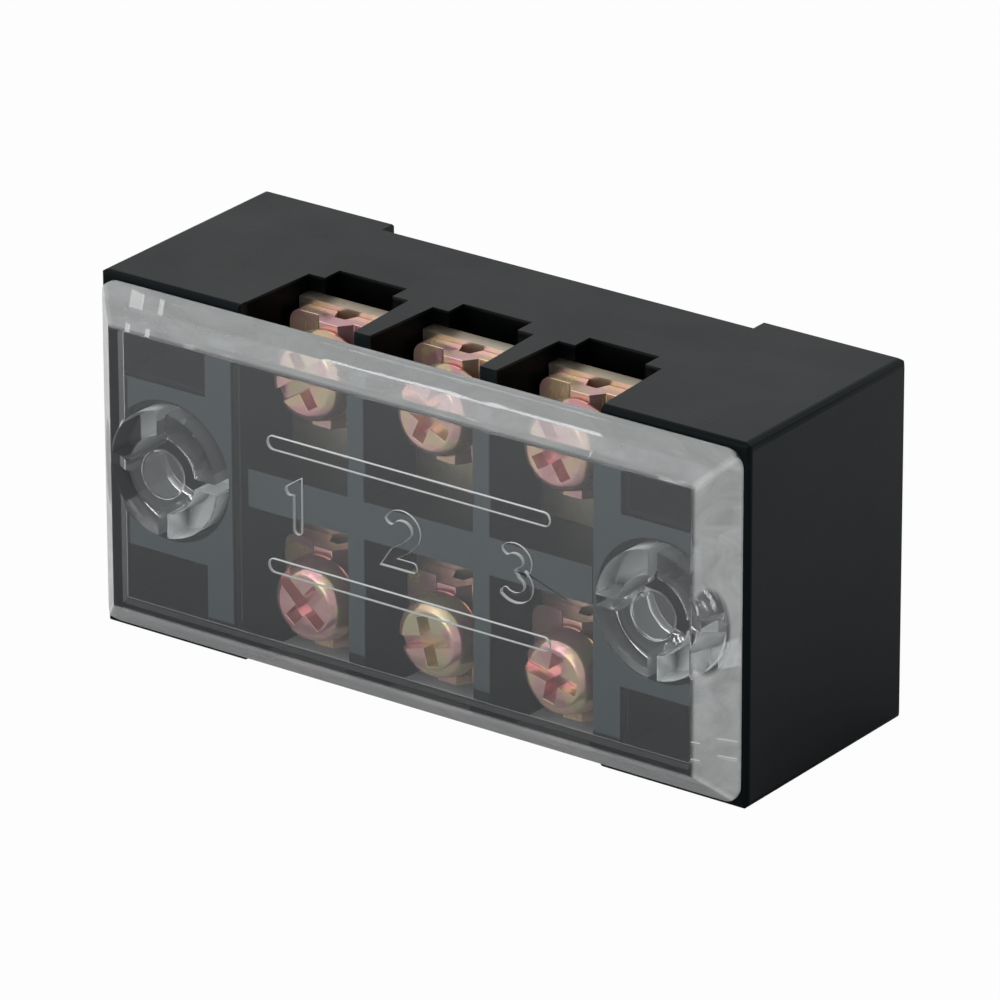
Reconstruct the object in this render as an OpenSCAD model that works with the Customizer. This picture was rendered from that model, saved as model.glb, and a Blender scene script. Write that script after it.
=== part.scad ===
// Barrier terminal strip: three poles, two rows of screw clamps, clear clip-on cover.
// The strip stands on its long side: +X along its length, the cover faces -Y,
// the mounting feet face +Y and +Z is up. The origin is below the middle of the closed strip.
// Every module is drawn from the housing's front plane: y = 0 there, and y grows towards the feet.

/* [Housing] */
// Length of the strip over both ends
body_len = 45; // [45:0.5:47]
// Height across both rows of clamps
body_h = 22; // [22:0.2:23]
// Depth of the housing from its front plane to the back of its feet
body_d = 15.4; // [15:0.2:17]
// Radius of the four long corners
corner_r = 0.5; // [0.4:0.1:1]
// Chamfer round the front and back edges
edge_chamfer = 0.15; // [0.1:0.05:0.2]
// Length of each mounting foot
foot_len = 9.5; // [8:0.5:10]
// How far the feet stand out from the back
foot_step = 1.2; // [0.8:0.1:1.4]

/* [Poles] */
// Distance from pole to pole
pole_pitch = 8.75; // [8.7:0.05:8.8]
// Clear width of a compartment at the ledges that carry the conductor
bay_w = 7.05; // [7:0.01:7.1]
// Draft of the compartment walls on each side, in degrees
bay_draft = 3; // [1:0.5:3]
// How far the barriers and the ridge sit behind the front plane
barrier_drop = 0.75; // [0.6:0.05:0.9]
// Height of the ridge between the two rows
ridge_h = 2.3; // [2:0.1:2.6]
// Gap between the ridge and each end wall
ridge_end_gap = 0.6; // [0.4:0.1:0.8]
// Depth of the ledges behind the front plane
ledge_y = 6.3; // [6.2:0.1:6.5]
// Width of the channel behind the ledges
channel_w = 4.8; // [4.6:0.1:5]
// Depth of that channel
channel_d = 1.4; // [1.2:0.1:1.6]
// Distance between the two rows of screws
row_gap = 13.6; // [13.4:0.1:13.8]

/* [Clamps] */
// Thickness of a conductor bar
bar_t = 1; // [0.8:0.1:1]
// Width of a conductor bar
bar_w = 7; // [6.8:0.05:7]
// Setback of the bar's ends from the long sides
bar_setback = 1; // [1:0.05:1.5]
// Width of a clamp plate
clamp_w = 6.7; // [6.5:0.1:6.8]
// Height of a clamp plate
clamp_h = 6.1; // [5.8:0.1:6.2]
// Thickness of a clamp plate
clamp_t = 1.1; // [0.9:0.1:1.2]
// Height of the pressed rib on a clamp plate
rib_rise = 0.8; // [0.7:0.1:0.9]
// Diameter of a screw head
head_d = 5.2; // [5:0.1:5.4]
// Height of a screw head
head_h = 1.8; // [1.7:0.1:1.8]
// Diameter of a screw's shank
shank_d = 2.9; // [2.8:0.05:2.95]
// Length of a screw below its head
shank_len = 6.8; // [6:0.2:7]
// Width of the driver slot
slot_w = 0.8; // [0.7:0.05:0.9]
// Depth of the driver slot
slot_d = 1; // [0.8:0.1:1.1]

/* [Cover] */
// Distance that the cover's flat front stands ahead of the housing
cover_proud = 2.2; // [2.1:0.05:2.3]
// Gap between the cover's outline and the housing's outline
cover_inset = 0.2; // [0.2:0.05:0.4]
// Radius of the cover's four corners
cover_corner_r = 1.1; // [0.9:0.1:1.3]
// Height of the straight lip round the cover
cover_lip = 0.2; // [0.15:0.05:0.3]
// Thickness of the cover's front plate
cover_t = 1.5; // [1.3:0.05:1.5]
// Width of the rim that rests on the housing
rim_w = 2; // [1.8:0.1:2.1]
// Outer diameter of the split posts
post_d = 7.7; // [7.5:0.1:7.7]
// Inner diameter of the split posts
post_bore_d = 4.7; // [4.6:0.1:5.1]
// How deep the posts reach into the housing
post_reach = 3; // [2.4:0.1:3.4]
// Width of the cuts that split a post
post_cut = 0.65; // [0.6:0.05:0.7]

/* [Mounting] */
// Distance between the two mounting holes
hole_gap = 34.2; // [34:0.1:34.4]
// Diameter of the mounting holes
hole_d = 4.2; // [4:0.1:4.5]
// Diameter of the counterbores that take the posts
counterbore_d = 8.1; // [8:0.1:8.2]
// Depth of the counterbores
counterbore_depth = 6; // [5:0.5:7]

/* [Hidden] */

$fn = 64;
poles = 3;
seat_gap = 0.02;
over = 1;
eps = 0.01;
front_y = -(body_d + cover_proud) / 2 + cover_proud;
mid_z = body_h / 2;
row_z = [mid_z + row_gap / 2, mid_z - row_gap / 2];
draft_run = tan(bay_draft);
middle_w = (poles - 1) * pole_pitch + bay_w + 2 * ledge_y * draft_run;
bar_front_y = ledge_y - bar_t;
clamp_back_y = bar_front_y - seat_gap;
clamp_front_y = clamp_back_y - clamp_t;
rib_front_y = clamp_front_y - rib_rise;
rib_top_w = 1.3;
rib_base_w = 2.5;
rib_wall = 0.55;
clamp_hole_d = 3.4;
// Radius of a plate's corners, and how far the plates hang down on their screws
clamp_corner_r = 0.8;
clamp_drop = 0.15;
bar_hole_d = 3;
// Wells behind the bars that clear the screws' ends, with a drill point at the bottom
well_d = 4;
well_floor_y = 11;
well_tip_d = 1;
well_tip_rise = 0.6;
plate_back_y = cover_t - cover_proud;
pocket_w = 6.05;
pocket_h = 3.8;
pocket_depth = 11;
pocket_wall = 2;
// Round pad left by the mould's gate inside each post
pad_d = 3;
pad_t = 0.3;
// Mouth chamfer of the counterbores, and the same at the tips of the posts
lead_in = 0.3;
// Grip bead round a post, with its distance from the tip and its width
bead_rise = 0.075;
bead_back = 1;
bead_w = 0.4;
root_sink = 0.2;
line_len = 20.6;
line_w = 0.9;
line_depth = 0.25;
line_x = 0.4;
line_z = [mid_z + 4, mid_z - 3.55];
// Height of the head's rim, the shoulder above it and the flat face, and the length of the cross arm
head_rim = 0.4;
shoulder_d = 4.5;
shoulder_drop = 0.35;
face_d = 3.6;
cross_len = 3;
// How far the shank runs up into the head, and the length of the cone at its tip
shank_sink = 0.1;
point_len = 0.5;
// Angle at which each driver slot came to rest, upper row and then lower row
slot_turns = [[-32, 24, 58], [41, -15, 12]];

function pole_x(i) = (i - (poles - 1) / 2) * pole_pitch;

// Puts a piece drawn from the front plane into the part's own frame
module place() {
    translate([0, front_y, 0]) children();
}

module rounded_rect(w, h, r) {
    square([w - 2 * r, h], center = true);
    square([w, h - 2 * r], center = true);
    for (x = [-1, 1], y = [-1, 1])
        translate([x * (w / 2 - r), y * (h / 2 - r)]) circle(r = r);
}

// A flat outline in X and Z, centred on the strip, from depth y0 back to depth y1
module slab(y0, y1) {
    translate([0, y1, mid_z]) rotate([90, 0, 0]) linear_extrude(y1 - y0) children();
}

// A round bar along Y, from depth y0 back to depth y1
module round_y(d, y0, y1) {
    translate([0, y0, 0]) rotate([-90, 0, 0]) cylinder(d = d, h = y1 - y0);
}

// A cone along Y whose diameter goes from d0 at depth y0 to d1 at depth y1
module cone_y(d0, d1, y0, y1) {
    translate([0, y0, 0]) rotate([-90, 0, 0]) cylinder(d1 = d0, d2 = d1, h = y1 - y0);
}

// A block centred on x, from depth y0 to y1 and from height z0 to z1
module block(x, w, y0, y1, z0, z1) {
    translate([x - w / 2, y0, z0]) cube([w, y1 - y0, z1 - z0]);
}

// The solid that a section in half-width and depth gives when it runs round a w by h outline.
// near is the half-width lost at y0, and far is the half-width lost at y1.
module bevelled_block(w, h, y0, y1, near, far) {
    intersection() {
        linear_extrude(body_h + 2 * over)
            polygon([[near - w / 2, y0], [w / 2 - near, y0], [w / 2 - far, y1], [far - w / 2, y1]]);
        translate([-body_len, 0, mid_z]) rotate([90, 0, 90]) linear_extrude(2 * body_len)
            polygon([[y0, near - h / 2], [y0, h / 2 - near], [y1, h / 2 - far], [y1, far - h / 2]]);
    }
}

module housing_block() {
    c = edge_chamfer;
    intersection() {
        slab(0, body_d) rounded_rect(body_len, body_h, corner_r);
        linear_extrude(body_h) polygon([
            [c - body_len / 2, 0], [body_len / 2 - c, 0], [body_len / 2, c], [body_len / 2, body_d - c],
            [body_len / 2 - c, body_d], [c - body_len / 2, body_d], [-body_len / 2, body_d - c], [-body_len / 2, c]
        ]);
        translate([-body_len / 2, 0, 0]) rotate([90, 0, 90]) linear_extrude(body_len) polygon([
            [0, c], [c, 0], [body_d - c, 0], [body_d, c],
            [body_d, body_h - c], [body_d - c, body_h], [c, body_h], [0, body_h - c]
        ]);
    }
}

// The drafted compartment of one pole, open through both long sides
module bay(x) {
    top_w = bay_w + 2 * (ledge_y + over) * draft_run;
    translate([x, 0, -over]) linear_extrude(body_h + 2 * over) polygon([
        [-top_w / 2, -over], [top_w / 2, -over], [bay_w / 2, ledge_y], [-bay_w / 2, ledge_y]
    ]);
}

// The ridge between the rows, which holds the bars down on their ledges
module ridge() {
    block(0, middle_w - 2 * ridge_end_gap, barrier_drop, bar_front_y, mid_z - ridge_h / 2, mid_z + ridge_h / 2);
}

module screw_wells(x) {
    for (z = row_z)
        translate([x, 0, z]) {
            round_y(well_d, ledge_y, well_floor_y);
            cone_y(well_d, well_tip_d, well_floor_y - eps, well_floor_y + well_tip_rise);
        }
}

// The hollow corners of one end section
module end_pockets(side) {
    x = side * (body_len / 2 - pocket_wall - pocket_w / 2);
    for (z0 = [pocket_wall, body_h - pocket_wall - pocket_h])
        block(x, pocket_w, -over, pocket_depth, z0, z0 + pocket_h);
}

module mounting_hole(x) {
    translate([x, 0, mid_z]) {
        round_y(hole_d, -over, body_d + over);
        round_y(counterbore_d, -over, counterbore_depth);
        cone_y(counterbore_d + 2 * lead_in, counterbore_d, -eps, lead_in);
    }
}

module housing() {
    color("#1b1d1f") place() difference() {
        housing_block();
        block(0, middle_w, -over, barrier_drop, -over, body_h + over);
        difference() {
            for (i = [0 : poles - 1]) bay(pole_x(i));
            ridge();
        }
        for (i = [0 : poles - 1]) {
            block(pole_x(i), channel_w, bar_front_y, ledge_y + channel_d, -over, body_h + over);
            screw_wells(pole_x(i));
        }
        for (side = [-1, 1]) {
            end_pockets(side);
            mounting_hole(side * hole_gap / 2);
        }
        block(0, body_len - 2 * foot_len, body_d - foot_step, body_d + over, -over, body_h + over);
    }
}

// A hollow post in four leaves, with a lead-in chamfer and a shallow bead at its tip
module split_post(x) {
    translate([x, 0, mid_z]) difference() {
        union() {
            round_y(post_d, plate_back_y - root_sink, post_reach - lead_in);
            cone_y(post_d, post_d - 2 * lead_in, post_reach - lead_in - eps, post_reach);
            round_y(post_d + 2 * bead_rise, post_reach - bead_back, post_reach - bead_back + bead_w);
        }
        round_y(post_bore_d, plate_back_y, post_reach + over);
        block(0, post_cut, plate_back_y, post_reach + over, -post_d, post_d);
        block(0, 2 * post_d, plate_back_y, post_reach + over, -post_cut / 2, post_cut / 2);
    }
}

// A round-ended marker line sunk into the back of the front plate
module marker_line(z) {
    translate([line_x, plate_back_y + eps, z]) rotate([90, 0, 0]) linear_extrude(line_depth) {
        square([line_len - line_w, line_w], center = true);
        for (x = [-1, 1]) translate([x * (line_len - line_w) / 2, 0]) circle(d = line_w);
    }
}

module clear_cover() {
    w = body_len - 2 * cover_inset;
    h = body_h - 2 * cover_inset;
    rise = cover_proud - cover_lip;
    inner = plate_back_y + rim_w;
    color([0.85, 0.88, 0.9, 0.35]) place() {
        difference() {
            intersection() {
                slab(-cover_proud, -seat_gap) rounded_rect(w, h, cover_corner_r);
                bevelled_block(w + 2 * over, h + 2 * over, -cover_proud, over, rise + over, rise - cover_proud);
            }
            bevelled_block(w - 2 * rim_w, h - 2 * rim_w, plate_back_y, over, -plate_back_y, -over);
            for (z = line_z) marker_line(z);
        }
        for (side = [-1, 1]) {
            split_post(side * hole_gap / 2);
            translate([side * hole_gap / 2, 0, mid_z])
                round_y(pad_d, plate_back_y - root_sink, plate_back_y + pad_t);
        }
    }
}

module conductor_bar(i) {
    color("#c9bfa6") place() difference() {
        block(pole_x(i), bar_w, bar_front_y, ledge_y, bar_setback, body_h - bar_setback);
        for (z = row_z)
            translate([pole_x(i), 0, z]) round_y(bar_hole_d, bar_front_y - over, ledge_y + over);
    }
}

// A square clamp plate with a rib pressed up along its middle, hollow behind
module clamp_plate(row, i) {
    color("#d6b48c") place() translate([pole_x(i), 0, row_z[row] - clamp_drop]) difference() {
        intersection() {
            translate([0, 0, -clamp_h / 2]) linear_extrude(clamp_h) polygon([
                [-clamp_w / 2, clamp_back_y], [-clamp_w / 2, clamp_front_y],
                [-rib_base_w / 2, clamp_front_y], [-rib_top_w / 2, rib_front_y],
                [rib_top_w / 2, rib_front_y], [rib_base_w / 2, clamp_front_y],
                [clamp_w / 2, clamp_front_y], [clamp_w / 2, clamp_back_y],
                [rib_base_w / 2 - rib_wall, clamp_back_y], [rib_top_w / 2 - rib_wall / 2, rib_front_y + clamp_t],
                [rib_wall / 2 - rib_top_w / 2, rib_front_y + clamp_t], [rib_wall - rib_base_w / 2, clamp_back_y]
            ]);
            translate([0, 0, -mid_z]) slab(rib_front_y - over, clamp_back_y + over)
                rounded_rect(clamp_w, clamp_h, clamp_corner_r);
        }
        round_y(clamp_hole_d, rib_front_y - over, clamp_back_y + over);
    }
}

// A low pan head: a short rim, sloping sides, a shoulder and a flat face
module screw_head() {
    shoulder_y = shoulder_drop - head_h;
    round_y(head_d, -head_rim, 0);
    cone_y(shoulder_d, head_d, shoulder_y, eps - head_rim);
    cone_y(face_d, shoulder_d, -head_h, shoulder_y + eps);
}

// A screw with a slot and a shorter cross arm, drawn from the back of its head
module pan_head_screw() {
    difference() {
        union() {
            screw_head();
            round_y(shank_d, -shank_sink, shank_len - point_len);
            cone_y(shank_d, shank_d - 2 * point_len, shank_len - point_len - eps, shank_len);
        }
        block(0, head_d + over, -head_h - over, slot_d - head_h, -slot_w / 2, slot_w / 2);
        block(0, slot_w, -head_h - over, slot_d - head_h, -cross_len / 2, cross_len / 2);
    }
}

module terminal_screw(row, i) {
    color("#cfa271") place() translate([pole_x(i), rib_front_y - seat_gap, row_z[row]])
        rotate([0, slot_turns[row][i], 0]) pan_head_screw();
}

housing();
clear_cover();
conductor_bar(0);  // conductor_bar_1
conductor_bar(1);  // conductor_bar_2
conductor_bar(2);  // conductor_bar_3
clamp_plate(0, 0);  // clamp_plate_upper_1
clamp_plate(0, 1);  // clamp_plate_upper_2
clamp_plate(0, 2);  // clamp_plate_upper_3
clamp_plate(1, 0);  // clamp_plate_lower_1
clamp_plate(1, 1);  // clamp_plate_lower_2
clamp_plate(1, 2);  // clamp_plate_lower_3
terminal_screw(0, 0);  // terminal_screw_upper_1
terminal_screw(0, 1);  // terminal_screw_upper_2
terminal_screw(0, 2);  // terminal_screw_upper_3
terminal_screw(1, 0);  // terminal_screw_lower_1
terminal_screw(1, 1);  // terminal_screw_lower_2
terminal_screw(1, 2);  // terminal_screw_lower_3
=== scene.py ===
"""Looks of a three-pole barrier terminal strip with a clear cover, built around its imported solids.

Every length is in metres, but for the fields of a class that says its lengths are in millimetres.
The strip stands on its long side: +X along its length, the cover faces -Y, the feet +Y, and +Z is up.
"""

import logging  # noqa: E402
import math  # noqa: E402
from dataclasses import dataclass, field  # noqa: E402
from enum import Enum  # noqa: E402
from typing import Callable, Iterable, Sequence  # noqa: E402

import bmesh  # noqa: E402
import bpy  # noqa: E402
from mathutils import Matrix, Vector  # noqa: E402


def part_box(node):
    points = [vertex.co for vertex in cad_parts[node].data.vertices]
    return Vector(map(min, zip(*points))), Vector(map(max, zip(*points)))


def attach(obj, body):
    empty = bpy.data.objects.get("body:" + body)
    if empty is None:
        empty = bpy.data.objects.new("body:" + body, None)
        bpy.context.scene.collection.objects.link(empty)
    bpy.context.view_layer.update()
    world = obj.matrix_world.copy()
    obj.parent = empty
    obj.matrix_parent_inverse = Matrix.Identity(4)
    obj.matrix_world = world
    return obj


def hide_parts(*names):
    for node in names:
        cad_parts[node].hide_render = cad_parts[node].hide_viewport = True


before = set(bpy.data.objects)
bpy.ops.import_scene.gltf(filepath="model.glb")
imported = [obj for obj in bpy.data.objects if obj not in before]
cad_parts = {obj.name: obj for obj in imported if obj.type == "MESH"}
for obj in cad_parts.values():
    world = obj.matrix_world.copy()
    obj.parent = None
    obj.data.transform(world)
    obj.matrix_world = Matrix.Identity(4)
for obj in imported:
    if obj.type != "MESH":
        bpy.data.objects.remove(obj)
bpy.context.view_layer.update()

LOG = logging.getLogger("terminal_strip")
MM = 0.001
TINY = 1e-7
ROWS = ("upper", "lower")
POLES = (1, 2, 3)

Colour = tuple[float, float, float]
Point = tuple[float, float, float]
Pair = tuple[float, float]
Piece = bpy.types.Object
Material = bpy.types.Material
Socket = bpy.types.NodeSocket


class Cut(Enum):
    """What a tool solid does to the piece that it is used on."""

    REMOVE = "DIFFERENCE"
    ADD = "UNION"
    KEEP_COMMON = "INTERSECT"


class Part(Enum):
    """What is selected in edit mode."""

    FACE = "FACE"
    EDGE = "EDGE"


class Slot(Enum):
    """Names of material slots."""

    HOUSING = "housing_plastic"
    COVER = "cover_plastic"
    BAR = "bar_plating"
    CLAMP = "clamp_plating"
    SCREW = "screw_plating"


# ---------------------------------------------------------------------------
# The bench: modelling operators
# ---------------------------------------------------------------------------


def clear_selection() -> None:
    """Leaves edit mode and deselects everything."""
    if bpy.context.mode != "OBJECT":
        bpy.ops.object.mode_set(mode="OBJECT")
    bpy.ops.object.select_all(action="DESELECT")


def pick(piece: Piece) -> None:
    """Makes one piece the only selected and the active one."""
    clear_selection()
    piece.select_set(True)
    bpy.context.view_layer.objects.active = piece


def name_new(name: str) -> Piece:
    """Names the primitive that was just added and settles its place into its mesh.

    Args:
        name: The piece's name, also used for its mesh.

    Returns:
        The new object, at the origin, unturned and unscaled.
    """
    piece = bpy.context.active_object
    piece.name = name
    piece.data.name = name
    bpy.ops.object.transform_apply(location=True, rotation=True, scale=True)
    return piece


def add_block(name: str, low: Sequence[float], high: Sequence[float]) -> Piece:
    """Adds a block between two corners.

    Args:
        name: The piece's name.
        low: The lowest corner, in metres.
        high: The highest corner, in metres.

    Returns:
        The block.
    """
    clear_selection()
    middle = [(a + b) / 2 for a, b in zip(low, high)]
    size = [b - a for a, b in zip(low, high)]
    bpy.ops.mesh.primitive_cube_add(size=1, location=middle, scale=size)
    return name_new(name)


def add_rod(
    name: str, centre: Sequence[float], radius: float, y0: float, y1: float, sides: int = 64
) -> Piece:
    """Adds a round rod along Y.

    Args:
        name: The piece's name.
        centre: The axis, as x and z.
        radius: Its radius.
        y0: Its front end.
        y1: Its back end.
        sides: How many sides the circle has.

    Returns:
        The rod.
    """
    clear_selection()
    bpy.ops.mesh.primitive_cylinder_add(
        vertices=sides,
        radius=radius,
        depth=y1 - y0,
        location=(centre[0], (y0 + y1) / 2, centre[1]),
        rotation=(math.pi / 2, 0, 0),
    )
    return name_new(name)


def edit_parts(piece: Piece, part: Part, chosen: Callable[[Vector, Vector], bool]) -> None:
    """Enters edit mode with only the faces or edges selected that a test accepts.

    Args:
        piece: The object to edit.
        part: Whether faces or edges are chosen.
        chosen: Takes a face's centre and normal, or an edge's two ends.
    """
    pick(piece)
    bpy.ops.object.mode_set(mode="EDIT")
    bpy.ops.mesh.select_mode(type=part.value)
    bpy.ops.mesh.select_all(action="DESELECT")
    shape = bmesh.from_edit_mesh(piece.data)
    if part is Part.FACE:
        for face in shape.faces:
            if chosen(face.calc_center_median(), face.normal):
                face.select_set(True)
        shape.select_flush(True)
    else:
        for edge in shape.edges:
            if chosen(edge.verts[0].co, edge.verts[1].co):
                edge.select_set(True)
    bmesh.update_edit_mesh(piece.data)


def front_faces(piece: Piece) -> None:
    """Enters edit mode with only the faces selected that look towards -Y."""
    edit_parts(piece, Part.FACE, lambda centre, normal: normal.y < -0.9)


def make_consistent(merge: float = 0.0) -> None:
    """Merges doubled points in edit mode where asked to, and turns all faces outward.

    Args:
        merge: Points closer than this become one.
    """
    bpy.ops.mesh.select_all(action="SELECT")
    if merge:
        bpy.ops.mesh.remove_doubles(threshold=merge)
        bpy.ops.mesh.select_all(action="SELECT")
    bpy.ops.mesh.normals_make_consistent(inside=False)


def leave_edit() -> None:
    """Goes back to object mode."""
    bpy.ops.object.mode_set(mode="OBJECT")


def draw_out(step: float, size: Sequence[float], centre: Sequence[float]) -> None:
    """Extrudes the selected faces along Y and then scales the new ones about a point.

    Args:
        step: How far the faces move.
        size: The factors along X, Y and Z.
        centre: The point that stays put while they are scaled.
    """
    bpy.ops.mesh.extrude_region_move(TRANSFORM_OT_translate={"value": (0, step, 0)})
    bpy.ops.transform.resize(value=tuple(size), center_override=tuple(centre))


def turned(name: str, centre: Sequence[float], rings: Sequence[Pair], sides: int = 64) -> Piece:
    """Models a turned solid on an axis along Y by drawing its end out ring by ring.

    Args:
        name: The piece's name.
        centre: The axis, as x and z.
        rings: Radius and y of each ring, from the highest y to the lowest.
        sides: How many sides a ring has.

    Returns:
        The closed solid.
    """
    (r0, y0), (r1, y1) = rings[0], rings[1]
    piece = add_rod(name, centre, r0, y1, y0, sides)
    front_faces(piece)
    bpy.ops.transform.resize(value=(r1 / r0, 1, r1 / r0), center_override=(centre[0], y1, centre[1]))
    for (ra, ya), (rb, yb) in zip(rings[1:], rings[2:]):
        draw_out(yb - ya, (rb / ra, 1, rb / ra), (centre[0], yb, centre[1]))
    leave_edit()
    return piece


def use_tool(piece: Piece, tool: Piece, cut: Cut) -> None:
    """Applies a tool solid to a piece and throws the tool away.

    Args:
        piece: The solid that is changed.
        tool: The solid that cuts it or joins it.
        cut: What the tool does.
    """
    pick(piece)
    modifier = piece.modifiers.new("tool", "BOOLEAN")
    modifier.operation = cut.value
    modifier.solver = "MANIFOLD"
    modifier.object = tool
    bpy.ops.object.modifier_apply(modifier=modifier.name)
    discard(tool)


def clean_mesh(piece: Piece, merge: float = 2e-6, flat_deg: float = 0.3) -> None:
    """Merges doubled points and dissolves the edges that lie in flat faces.

    Args:
        piece: The object to clean.
        merge: Points closer than this become one.
        flat_deg: The largest angle that counts as flat, in degrees.
    """
    pick(piece)
    bpy.ops.object.mode_set(mode="EDIT")
    bpy.ops.mesh.select_all(action="SELECT")
    bpy.ops.mesh.remove_doubles(threshold=merge)
    bpy.ops.mesh.dissolve_limited(angle_limit=math.radians(flat_deg))
    leave_edit()


def soften(piece: Piece, width: float, segments: int = 2, angle_deg: float = 30.0) -> None:
    """Rounds every edge sharper than an angle.

    Args:
        piece: The object to round.
        width: The width of the rounding.
        segments: How many faces run round it.
        angle_deg: The sharpness from which an edge is rounded, in degrees.
    """
    pick(piece)
    modifier = piece.modifiers.new("rounding", "BEVEL")
    modifier.width = width
    modifier.segments = segments
    modifier.limit_method = "ANGLE"
    modifier.angle_limit = math.radians(angle_deg)
    modifier.use_clamp_overlap = True
    modifier.miter_outer = "MITER_ARC" if segments > 2 else "MITER_SHARP"
    bpy.ops.object.modifier_apply(modifier=modifier.name)


def smooth(piece: Piece, angle_deg: float = 35.0) -> None:
    """Shades a piece smooth with its large faces left flat, and creases at its sharp turns.

    Args:
        piece: The object to shade.
        angle_deg: The angle from which an edge stays a crease, in degrees.
    """
    pick(piece)
    bpy.ops.object.shade_smooth_by_angle(angle=math.radians(angle_deg))
    flats = piece.modifiers.new("flats", "WEIGHTED_NORMAL")
    flats.mode = "FACE_AREA"
    flats.weight = 100
    flats.keep_sharp = True
    bpy.ops.object.modifier_apply(modifier=flats.name)


def copy_piece(source: Piece, name: str) -> Piece:
    """Copies a piece with a mesh of its own.

    Args:
        source: The object to copy.
        name: The copy's name.

    Returns:
        The copy.
    """
    piece = bpy.data.objects.new(name, source.data.copy())
    piece.data.name = name
    bpy.context.scene.collection.objects.link(piece)
    return piece


def place_copy(source: Piece, name: str, move: Sequence[float], turn_y: float = 0.0) -> Piece:
    """Copies a piece that was modelled about the origin and settles the copy at its place.

    Args:
        source: The object to copy.
        name: The copy's name.
        move: Where the origin goes.
        turn_y: The turn about Y before that, in degrees.

    Returns:
        The copy, with its place in its mesh.
    """
    piece = copy_piece(source, name)
    piece.location = move
    piece.rotation_euler = (0, math.radians(turn_y), 0)
    pick(piece)
    bpy.ops.object.transform_apply(location=True, rotation=True, scale=True)
    return piece


def discard(piece: Piece) -> None:
    """Removes an object and its mesh."""
    mesh = piece.data
    bpy.data.objects.remove(piece)
    bpy.data.meshes.remove(mesh)


def dress(piece: Piece, material: Material, body: str, nodes: Iterable[str] = ()) -> Piece:
    """Gives a piece its material, body and the CAD nodes that it stands for.

    Args:
        piece: The finished piece.
        material: Its material.
        body: The CAD body that it rides on.
        nodes: The CAD nodes that it replaces.

    Returns:
        The piece.
    """
    piece.data.materials.clear()
    piece.data.materials.append(material)
    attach(piece, body)
    if nodes:
        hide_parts(*nodes)
    return piece


# ---------------------------------------------------------------------------
# Finishes
# ---------------------------------------------------------------------------


class NodeBench:
    """Adds and links the nodes of one tree."""

    def __init__(self, tree: bpy.types.NodeTree) -> None:
        """Starts on a tree and empties it."""
        self.tree = tree
        tree.nodes.clear()

    def node(self, kind: str, **settings: object) -> bpy.types.Node:
        """Adds a node and sets its properties.

        Args:
            kind: The node's type name.
            settings: Properties of the node.

        Returns:
            The node.
        """
        made = self.tree.nodes.new(kind)
        for key, value in settings.items():
            setattr(made, key, value)
        return made

    def link(self, source: Socket, target: Socket) -> None:
        """Links two sockets."""
        self.tree.links.new(source, target)

    def span(self, value: Socket, low: float, high: float, start: float = 0.0, end: float = 1.0) -> Socket:
        """Maps a value from start..end to low..high and clamps it there.

        Args:
            value: The value socket.
            low: The result at start.
            high: The result at end.
            start: Where the value's range starts.
            end: Where it ends.

        Returns:
            The value socket.
        """
        made = self.node("ShaderNodeMapRange")
        self.link(value, made.inputs["Value"])
        for key, number in (("From Min", start), ("From Max", end), ("To Min", low), ("To Max", high)):
            made.inputs[key].default_value = number
        return made.outputs["Result"]

    def sum(self, a: Socket, b: Socket | float, how: str = "ADD") -> Socket:
        """Joins two values by arithmetic.

        Args:
            a: The first value.
            b: The second value, a socket or a number.
            how: The Math node's operation.

        Returns:
            The value socket.
        """
        made = self.node("ShaderNodeMath", operation=how)
        self.link(a, made.inputs[0])
        if isinstance(b, (int, float)):
            made.inputs[1].default_value = b
        else:
            self.link(b, made.inputs[1])
        return made.outputs["Value"]

    def away(self, value: Socket, centre: float = 0.0) -> Socket:
        """How far a value lies from a centre, on either side."""
        size = self.node("ShaderNodeMath", operation="ABSOLUTE")
        self.link(self.sum(value, centre, "SUBTRACT"), size.inputs[0])
        return size.outputs["Value"]

    def below(self, value: Socket, limit: float, soft: float) -> Socket:
        """A mask that is 1 below a limit and falls to 0 over a soft step beyond it."""
        return self.span(value, 1.0, 0.0, limit, limit + soft)

    def all_of(self, *masks: Socket) -> Socket:
        """The product of some masks."""
        made = masks[0]
        for mask in masks[1:]:
            made = self.sum(made, mask, "MULTIPLY")
        return made


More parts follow.
